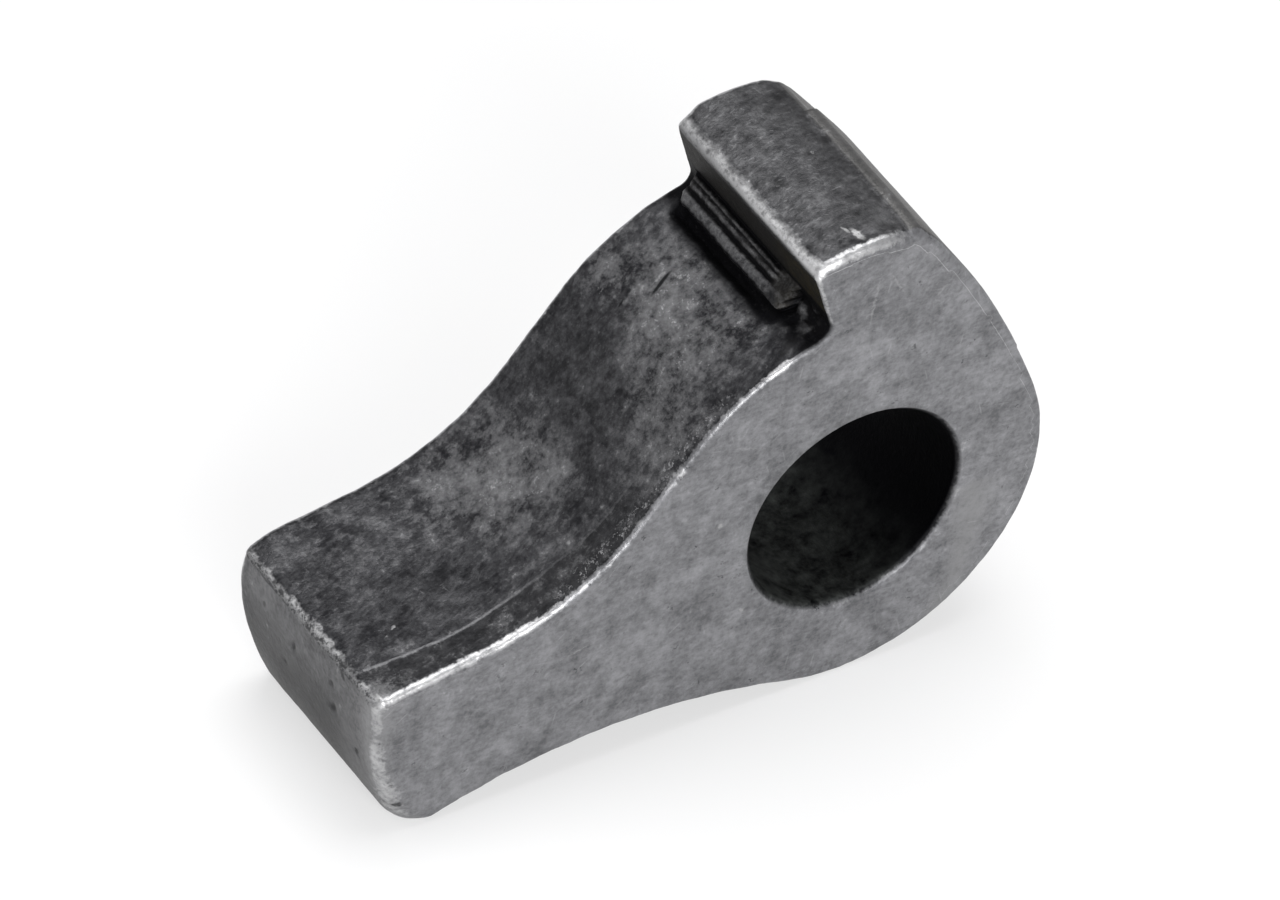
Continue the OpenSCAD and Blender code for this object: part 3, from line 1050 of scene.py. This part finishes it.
FAINT_MARKS = [
    ((-5.35, 1.55, 9.75), (0, -12, -72), (0.42, 0.09, 0.3)),
    ((-5.85, 2.15, 9.45), (0, -33, 4), (0.5, 0.08, 0.3)),
    ((-20.9, -2.2, -0.9), (0, 0, 40), (0.16, 0.07, 0.3)),
    ((3.1, -5.7, 10.77), (0, 30, 0), (0.3, 0.3, 0.05)),
    ((-0.24, -5.7, 12.0), (0, 96, 0), (1.6, 0.3, 0.09)),
    ((0.9, -5.7, 12.6), (0, 60, 0), (0.9, 0.3, 0.07)),
    ((3.2, -5.7, 11.3), (0, -40, 0), (0.4, 0.3, 0.07)),
    ((-6.0, -5.7, 6.0), (0, 20, 0), (0.9, 0.3, 0.04)),
    ((-14.0, -5.7, -2.5), (0, -12, 0), (1.4, 0.3, 0.04)),
]
CUTS = [
    ((-5.94, 1.86, 9.38), (0, -33, 16), (0.85, 0.12, 0.4)),
    ((-7.3, 2.6, 8.1), (0, -44, 20), (0.3, 0.07, 0.4)),
]


def forged_skin(t):
    """Dark forged skin of the arm's top, with the lighter tooth and the patches."""
    arm = t.mix(t.tone, "forged dark", "forged light")
    arm = t.mix(t.times(t.attribute("strip"), 0.5), arm, "front strip")
    tooth = t.mix(t.tone, "tooth dark", "tooth light")
    tooth = t.mix(t.attribute("shoulder"), tooth, "shoulder")
    colour = t.mix(t.most(t.attribute("top"), t.attribute("shoulder")), arm, tooth)
    patchy = t.uneven(t.attribute("patch"), swing=1.3, drift=1.8, wide=0.7)
    colour = t.mix(t.rise(patchy, 0.05, 1.5, 0.0, 0.9), colour, "light patch")
    return t.mix(t.rise(patchy, -0.1, -0.8, 0.0, 0.75), colour, "dark patch")


def tip_end_skin(t, colour, tip_edge):
    """Adds the tip's end, which is lighter than the arm's top and shaded lower down."""
    tip = t.mix(t.uneven(t.tone, swing=0.8), "tip dark", "tip light")
    tip = t.mix(t.attribute("shade"), tip, "tip shade")
    colour = t.mix(t.attribute("end"), colour, tip)
    return t.mix(t.times(tip_edge, 0.6), colour, "tip edge")


def ground_skin(t, colour):
    """Adds the light ground side faces, the band along the tip's front edge and the stained flank."""
    ground_tone = t.uneven(0.5, wide=1.4, drift=1.4, swing=1.5, streaks=0.8)
    ground = t.mix(ground_tone, "ground dark", "ground light")
    ground_share = t.rise(t.uneven(t.attribute("side"), swing=0.9, drift=0.6), 0.35, 0.65)
    colour = t.mix(ground_share, colour, ground)
    band_share = t.rise(t.uneven(t.attribute("nose_band"), swing=1.2), 0.15, 1.0)
    colour = t.mix(t.times(band_share, 0.75), colour, "nose band")
    flank = t.attribute("flank")
    stain = t.rise(t.uneven(flank, wide=1.6, drift=1.3, swing=1.2), 0.35, 1.0, 0.0, 0.85)
    return t.mix(t.times(stain, t.rise(flank, 0.0, 0.3)), colour, "flank stain")


def specks_and_pits(t, colour):
    """Adds small dark pits and bright specks, most of them on the light patches and the front rim."""
    side = t.attribute("side")
    ragged = t.shaken(t.place, 5.0, 0.9)
    pits = dots(t, t.along(ragged, (0, 15, 0), (1.7, 1, 1)), *PIT_DOTS)
    speck_share = t.lerp(t.patched, t.lerp(side, 0.15, 0.35), 0.6)
    grit = t.times(dots(t, ragged, *GRIT_DOTS), t.rise(t.noises["drift"], -0.04, 0.08))
    colour = t.mix(t.times(pits, t.lerp(side, 0.5, 0.75)), colour, "pit")
    colour = t.mix(t.times(dots(t, ragged, *SPECK_DOTS), speck_share), colour, "speck")
    colour = t.mix(t.times(grit, t.patched, 0.8), colour, "grit")
    return t.mix(t.times(dots(t, ragged, *RIM_DOTS), t.attribute("rim"), 0.8), colour, "rim speck")


def scratched(t, colour):
    """Adds random scratches on the side faces, across the tooth's top and along the arm."""
    side_lines = t.most(*(strokes(t, t.place, *stroke) for stroke in SIDE_STROKES))
    top_lines = t.most(*(strokes(t, t.place, *stroke) for stroke in TOP_STROKES))
    side_share = t.times(t.rise(t.attribute("side"), 0.75, 1.0), 0.5)
    top_share = t.most(t.times(t.attribute("top"), 0.4), t.times(t.attribute("arm"), 0.12))
    lines = t.most(t.times(side_lines, side_share), t.times(top_lines, top_share))
    return t.mix(t.times(lines, 0.5), colour, "scratch")


def worn_edges_and_highlights(t, colour, off_tip, tip_edge):
    """Adds the bare metal where the edges rub, with painted highlights along the edges, and gives its
    share.
    """
    # Bare metal where the edges rub, with painted highlights along them
    bare_and_highlight = t.rise(t.uneven(t.attribute("shine"), swing=1.3, drift=1.6), 0.35, 1.05)
    depth = t.node("ShaderNodeSeparateXYZ", {0: t.place}).outputs[1]
    off_hook = t.away("off_hook", 0.02, drift=0.5, swing=0.35)
    hook_edge = t.rise(t.uneven(off_hook, swing=0.5), 0.12, 0.5, 1.0, 0.0)
    hook_share = t.times(hook_edge, t.rise(depth, -4.5, 3.0, 1.5, 0.9))
    # Bands along the hook's and the tip's edges: rubbed metal with a painted highlight
    rubbed_and_highlit = t.most(hook_share, t.times(tip_edge, 0.95))
    worn = t.add(t.noises["swing"], t.times(t.noises["drift"], 0.6))
    low, high = t.lerp(tip_edge, -0.2, -0.08), t.lerp(tip_edge, 0.28, 0.2)
    speckled = t.times(rubbed_and_highlit, t.rise(worn, low, high, t.lerp(tip_edge, 0.3, 0.05), 1.3))
    spots = t.times(t.rise(off_tip, 0.12, 0.45, 1.0, 0.0), t.rise(worn, -0.02, -0.16))
    colour = t.mix(t.times(spots, 0.7), colour, "tip spot")
    bare_and_highlight = t.most(bare_and_highlight, speckled)
    return t.mix(t.times(bare_and_highlight, 0.85), colour, "bare metal"), bare_and_highlight


def step_highlight_and_faint_marks(t, colour):
    """Adds the painted highlight along the arm's low step, and the faint marks."""
    off_step = t.away("off_step", 0.0, drift=0.22)
    # Painted highlight along the low step's edge
    step_highlight = t.times(t.rise(off_step, 0.02, 0.07, 1.0, 0.0), t.attribute("step_highlight_strength"))
    colour = t.mix(t.times(step_highlight, t.rise(t.grain, 0.3, 0.6, 0.25, 0.9)), colour, "step")
    faint = marks_at(t, t.shaken(t.place, 5.0, 0.25), FAINT_MARKS)
    return t.mix(t.times(faint, t.rise(t.grain, 0.35, 0.6), 0.6), colour, "faint mark")


def root_dirt(t, colour):
    """Adds the painted shade on the hook's wall and in the root, the rust, and the painted highlight on the
    ribs' crests, which also colours the lumps.
    """
    # Painted shade on the hook's wall
    colour = t.mix(t.rise(t.uneven(t.attribute("wall"), swing=1.2), 0.3, 0.8), colour, "hook wall")
    rust_noise = t.rise(t.add(t.grain, t.noises["drift"]), 0.35, 0.6)
    colour = t.mix(t.times(t.attribute("rust"), rust_noise), colour, "rust")
    # Painted shade in the groove and the root's corner
    soot = t.rise(t.uneven(t.attribute("dirt"), swing=0.9), 0.1, 0.95)
    colour = t.mix(t.times(soot, 0.97), colour, "soot")
    # Painted highlight on the ribs' crests, in the same colours as the lumps of dirt
    ridge_tone = t.rise(t.uneven(t.grain, drift=0.9), 0.3, 0.75)
    ridge_share = t.rise(t.uneven(t.attribute("ridge"), swing=1.2), 0.1, 1.05)
    return t.mix(ridge_share, colour, t.mix(ridge_tone, "ridge dark", "ridge light"))


def single_marks(t, colour):
    """Adds the dark marks, the cuts and the bright marks."""
    dark = marks_at(t, t.shaken(t.place, 5.0, 0.3), DARK_MARKS)
    cuts = marks_at(t, t.shaken(t.place, 3.0, 0.1), CUTS)
    bright = marks_at(t, t.shaken(t.place, 5.0, 0.25), BRIGHT_MARKS)
    colour = t.mix(t.times(dark, 0.75), colour, "dark mark")
    colour = t.mix(t.times(cuts, 0.95), colour, "cut")
    return t.mix(t.times(bright, t.rise(t.grain, 0.3, 0.5), 0.65), colour, "bright mark")


def painted_bore_light_and_shade(t, colour):
    """Adds the bore's painted shade, nearly black, with painted light on its lower part."""
    # Painted shade inside the bore, with painted light on its lower side
    tone = t.rise(t.uneven(t.mottle, swing=0.35, wide=0.6), 0.25, 0.8)
    painted_bore = t.mix(t.times(t.attribute("bore_low"), tone), "bore dark", "bore light")
    return t.mix(t.attribute("bore"), colour, painted_bore)


def steel_material():
    """Dark tumbled steel with lighter ground sides, bright worn edges with painted highlights, rust and
    painted shade in the root, and a bore of painted shade and light.
    """
    material = bpy.data.materials.new("worn_steel")
    t = SteelTree(material)
    off_tip = t.away("off_tip", -0.05, drift=0.9, swing=0.63)
    tip_edge = t.rise(t.uneven(off_tip, swing=0.8, wide=0.5), 0.05, 0.26, 1.0, 0.0)
    colour = forged_skin(t)
    colour = tip_end_skin(t, colour, tip_edge)
    colour = ground_skin(t, colour)
    colour = specks_and_pits(t, colour)
    colour = scratched(t, colour)
    colour, bare_and_highlight = worn_edges_and_highlights(t, colour, off_tip, tip_edge)
    colour = step_highlight_and_faint_marks(t, colour)
    colour = root_dirt(t, colour)
    colour = single_marks(t, colour)
    colour = painted_bore_light_and_shade(t, colour)
    dull = t.most(t.attribute("dirt"), t.attribute("bore"), t.attribute("wall"))
    rough = t.add(t.lerp(bare_and_highlight, t.lerp(t.grain, 0.36, 0.56), 0.38), t.times(dull, 0.2))
    fine = t.noise(t.place, 13.0, detail=1, roughness=0.6)
    height = t.add(t.times(t.grain, 1.8), t.times(fine, 0.5), t.times(t.mottle, 1.5))
    bump = t.node("ShaderNodeBump", {"Height": height, "Strength": 0.8, "Distance": 0.02 * MM}).outputs[0]
    surface = {"Base Color": colour, "Metallic": 1.0, "Roughness": rough, "Normal": bump}
    shader = t.node("ShaderNodeBsdfPrincipled", surface)
    t.node("ShaderNodeOutputMaterial", {"Surface": shader.outputs[0]})
    return material


def floor_material():
    """Pale floor: nearly white to the camera and in reflections, with the shadow kept."""
    material = bpy.data.materials.new("pale_floor")
    t = Tree(material)
    paths = t.node("ShaderNodeLightPath")
    seen = t.most(*(paths.outputs[f"Is {kind} Ray"] for kind in ("Camera", "Glossy", "Transmission")))
    plain = t.node("ShaderNodeBsdfDiffuse", {"Color": (0.8, 0.8, 0.8, 1)}).outputs[0]
    glow = t.node("ShaderNodeEmission", {"Color": (1, 1, 1, 1), "Strength": 1.0}).outputs[0]
    half = t.node("ShaderNodeMixShader", {0: t.times(seen, 0.55), 1: plain, 2: glow}).outputs[0]
    t.node("ShaderNodeOutputMaterial", {"Surface": half})
    return material


def studio_world():
    """Soft room light: pale at the horizon and greyer overhead."""
    world = bpy.data.worlds.new("studio")
    bpy.context.scene.world = world
    world.use_nodes = True
    t = Tree(world)
    way = t.node("ShaderNodeTexCoord").outputs["Generated"]
    up = t.node("ShaderNodeSeparateXYZ", {0: way}).outputs[2]
    shade = t.rise(up, 0.25, 0.75)
    colour = t.mix(shade, "horizon", "overhead")
    glow = t.node("ShaderNodeBackground", {"Color": colour, "Strength": 0.8})
    t.node("ShaderNodeOutputWorld", {"Surface": glow.outputs[0]})


def area_light(name, place, aim, size, power):
    light = bpy.data.lights.new(name, "AREA")
    light.shape = "RECTANGLE"
    light.size, light.size_y = size
    light.energy = power
    lamp = bpy.data.objects.new(name, light)
    lamp.location = place
    lamp.rotation_euler = (Vector(aim) - Vector(place)).to_track_quat("-Z", "Y").to_euler()
    bpy.context.scene.collection.objects.link(lamp)


def studio_floor():
    mesh = bpy.data.meshes.new("floor")
    reach = 3.0
    z = LOW[2] * MM
    corners = [(-reach, -reach, z), (reach, -reach, z), (reach, reach, z), (-reach, reach, z)]
    mesh.from_pydata(corners, [], [(0, 1, 2, 3)])
    mesh.materials.append(floor_material())
    floor = bpy.data.objects.new("floor", mesh)
    bpy.context.scene.collection.objects.link(floor)


def studio_camera():
    """Camera in the photograph's place, turned to the middle of the pawl and drawn closer by its lens."""
    place = Vector((-0.31836, -0.42900, 0.48381))
    aim = Vector((-0.00772, -0.00035, 0.00227))
    roll = math.radians(6.06)
    photo_lens = 225
    closer = 2.1
    camera = bpy.data.cameras.new("camera")
    camera.lens = photo_lens * closer
    camera.clip_start = 0.01
    thing = bpy.data.objects.new("camera", camera)
    turn = (aim - place).to_track_quat("-Z", "Y").to_matrix().to_4x4()
    thing.matrix_world = Matrix.Translation(place) @ turn @ Matrix.Rotation(roll, 4, "Z")
    bpy.context.scene.collection.objects.link(thing)
    bpy.context.scene.camera = thing


studio_camera()
studio_world()
studio_floor()
area_light("key", (-0.25, -0.75, 0.42), (0, 0, 0), (0.5, 0.35), 6)
area_light("fill", (-0.5, 0.5, 0.55), (0, 0, 0), (0.6, 0.6), 1.5)
area_light("top", (0.1, 0.1, 0.8), (0, 0, 0), (0.5, 0.5), 5)

pawl = build_pawl()
pawl.data.materials.append(steel_material())
bpy.context.scene.collection.objects.link(pawl)
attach(pawl, "root")
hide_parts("pawl")

scene = bpy.context.scene
scene.view_settings.view_transform = "Standard"
